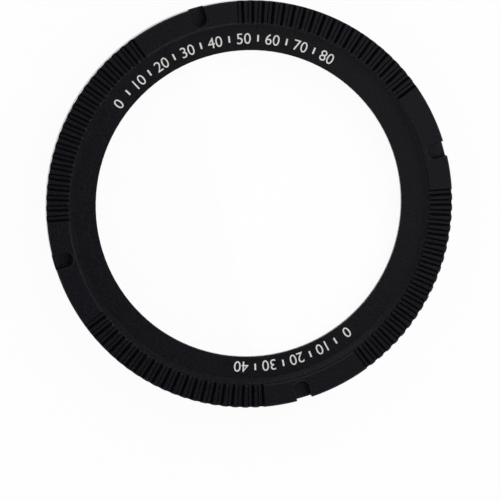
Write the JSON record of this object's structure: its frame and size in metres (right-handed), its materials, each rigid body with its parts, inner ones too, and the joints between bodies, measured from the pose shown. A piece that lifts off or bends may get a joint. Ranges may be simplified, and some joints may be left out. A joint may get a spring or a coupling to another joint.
{
  "type": "internal lens filter",
  "caption": "Flat round screw-in filter: a knurled ring with round-ended spanner notches round a clear glass, held from behind by a threaded ring.",
  "frame": {"origin": "on the ring's axis, in the plane of the rear face that the filter lies on", "axes": "+Z leaves the front, knurled side; +X runs through the middle of a spanner notch"},
  "size_m": [0.066, 0.066, 0.006],
  "materials": {
    "ring_black": "fine matte black anodising",
    "clear_glass": "polished, coated both sides",
    "retainer_black": "matte black anodising",
    "marking_white": "matte paint filled into fine engraving"
  },
  "bodies": {
    "root": {"knurled_ring": "ring_black", "filter_glass": "clear_glass", "retaining_ring": "retainer_black"}
  },
  "joints": []
}
